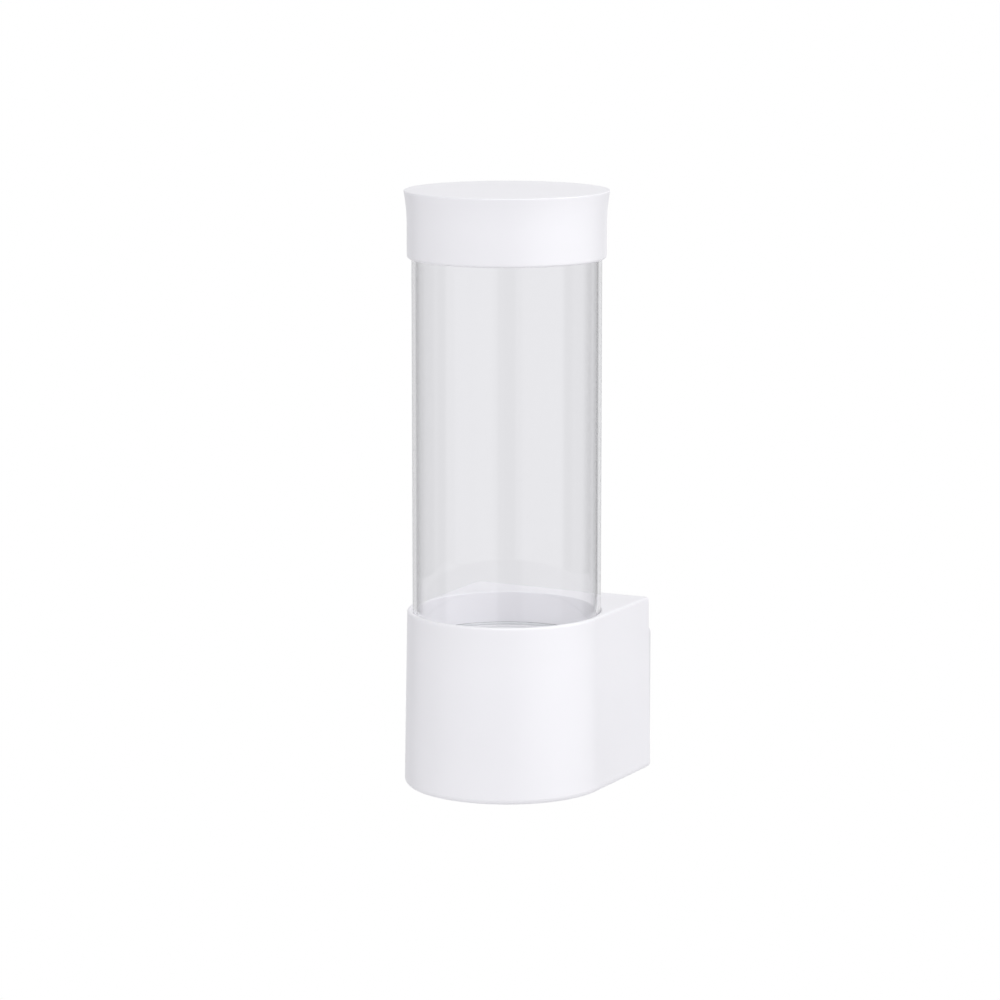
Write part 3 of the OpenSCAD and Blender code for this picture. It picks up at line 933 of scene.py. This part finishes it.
# Bearings where the surroundings are darker, either side of the backdrop behind the object
SHADES = [(114, 146, -0.33), (-140, -129, -0.17)]

# Degrees over which a softbox fades round about and up and down, and a shade round about
BOX_FADE = 7
RISE_FADE = 10
SHADE_FADE = 10


def make_camera():
    """The viewpoint: a long lens to the right of the front, looking a little down."""
    azimuth, pitch = math.radians(CAMERA_AZIMUTH), math.radians(CAMERA_PITCH)
    side = np.array([math.cos(azimuth), math.sin(azimuth), 0])
    ahead = np.array([-math.sin(azimuth) * math.cos(pitch), math.cos(azimuth) * math.cos(pitch),
                      -math.sin(pitch)])
    aim = AXIS + np.array([0, 0, AIM_UP]) - AIM_LEFT * side
    camera = bpy.data.cameras.new("camera")
    camera.lens, camera.sensor_width = LENS, SENSOR
    camera.clip_start, camera.clip_end = 0.05, 100
    holder = bpy.data.objects.new("camera", camera)
    holder.location = aim - ahead * CAMERA_DISTANCE
    holder.rotation_mode = "QUATERNION"
    holder.rotation_quaternion = Vector(ahead).to_track_quat("-Z", "Y")
    bpy.context.scene.collection.objects.link(holder)
    bpy.context.scene.camera = holder


def faded_band(tree, value, start, end, fade):
    """One between start and end, fading to nothing over fade beyond each."""
    smooth = {"interpolation_type": "SMOOTHSTEP"}
    up = node(tree, "ShaderNodeMapRange", smooth, Value=value, From_Min=start - fade, From_Max=start)
    down = node(tree, "ShaderNodeMapRange", smooth, Value=value, From_Min=end + fade, From_Max=end)
    return maths(tree, "MULTIPLY", up.outputs[0], down.outputs[0])


def make_world():
    """Studio surroundings: plain white for the eye; what lights the object is a level that leans
    towards the right, with upright softboxes in front and at the left, a wide one overhead, and a
    bright backdrop behind."""
    world = bpy.data.worlds.new("studio")
    bpy.context.scene.world = world
    world.use_nodes = True
    tree = world.node_tree
    tree.nodes.clear()
    out = tree.nodes.new("ShaderNodeOutputWorld")
    way = tree.nodes.new("ShaderNodeTexCoord").outputs["Generated"]
    axes = node(tree, "ShaderNodeSeparateXYZ", None, Vector=way)
    lean = node(tree, "ShaderNodeVectorMath", {"operation": "DOT_PRODUCT"}, i0=way)
    lean.inputs[1].default_value = LIGHT_WAY
    level = ranged(tree, lean.outputs["Value"], -1.0, 1.0, *LEVELS)

    # Bearing round the object from the camera's side, and rise over the horizon, in degrees
    toward_x = math.sin(math.radians(CAMERA_AZIMUTH))
    toward_y = -math.cos(math.radians(CAMERA_AZIMUTH))
    ahead = maths(tree, "ADD", maths(tree, "MULTIPLY", axes.outputs["X"], toward_x),
                  maths(tree, "MULTIPLY", axes.outputs["Y"], toward_y))
    across = maths(tree, "SUBTRACT", maths(tree, "MULTIPLY", axes.outputs["Y"], toward_x),
                   maths(tree, "MULTIPLY", axes.outputs["X"], toward_y))
    bearing = maths(tree, "MULTIPLY", maths(tree, "ARCTAN2", across, ahead), 180 / math.pi)
    rise = maths(tree, "MULTIPLY", maths(tree, "ARCSINE", axes.outputs["Z"]), 180 / math.pi)

    for start, end, low, high, gain in SOFTBOXES:
        box = maths(tree, "MULTIPLY", faded_band(tree, bearing, start, end, BOX_FADE),
                    faded_band(tree, rise, low, high, RISE_FADE))
        level = maths(tree, "ADD", level, maths(tree, "MULTIPLY", box, gain))
    for start, end, gain in SHADES:
        shade = faded_band(tree, bearing, start, end, SHADE_FADE)
        level = maths(tree, "ADD", level, maths(tree, "MULTIPLY", shade, gain))

    lamp = node(tree, "ShaderNodeBackground", None, Color=LIGHT_COLOUR, Strength=level)
    plain = node(tree, "ShaderNodeBackground", None, Color=(1, 1, 1, 1), Strength=1.0)
    path = tree.nodes.new("ShaderNodeLightPath")
    mix = node(tree, "ShaderNodeMixShader", None, i0=path.outputs["Is Camera Ray"],
               i1=lamp.outputs[0], i2=plain.outputs[0])
    tree.links.new(mix.outputs[0], out.inputs["Surface"])


def make_floor():
    """Pale floor, as far below as a dispenser hangs over a real one."""
    drop, reach = 1.3, 3.0
    z = AXIS[2] - drop
    t = np.linspace(0, 2 * math.pi, 96, endpoint=False)
    points = np.column_stack([reach * np.cos(t), reach * np.sin(t), np.full(t.size, z)])
    mesh = bpy.data.meshes.new("floor")
    mesh.from_pydata(points.tolist(), [], [list(range(t.size))])
    material, tree, shader, where = new_material("pale_floor")
    mottle = node(tree, "ShaderNodeTexNoise", None, Vector=where, Scale=3.0, Detail=2.0)
    tree.links.new(mixed_colour(tree, mottle.outputs["Fac"], (0.8, 0.8, 0.805), (0.82, 0.82, 0.825)),
                   shader.inputs["Base Color"])
    shader.inputs["Roughness"].default_value = 0.9
    mesh.materials.append(material)
    floor = bpy.data.objects.new("floor", mesh)
    bpy.context.scene.collection.objects.link(floor)


def softbox(name, azimuth, elevation, distance, size, power):
    """A rectangular area lamp that faces the middle of the object; azimuth 0 is in front."""
    a, e = math.radians(azimuth), math.radians(elevation)
    middle = np.array([0, AXIS[1], (CAD_LOW[2] + CAD_HIGH[2]) / 2])
    back = np.array([math.sin(a) * math.cos(e), -math.cos(a) * math.cos(e), math.sin(e)])
    lamp = bpy.data.lights.new(name, "AREA")
    lamp.shape = "RECTANGLE"
    lamp.size, lamp.size_y = size
    lamp.energy = power
    holder = bpy.data.objects.new(name, lamp)
    holder.location = middle + back * distance
    holder.rotation_mode = "QUATERNION"
    holder.rotation_quaternion = Vector(-back).to_track_quat("-Z", "Y")
    bpy.context.scene.collection.objects.link(holder)


make_camera()
make_world()
make_floor()
softbox("key", azimuth=113, elevation=37, distance=1.8, size=(0.45, 0.6), power=6)
bpy.context.scene.view_settings.view_transform = "Standard"
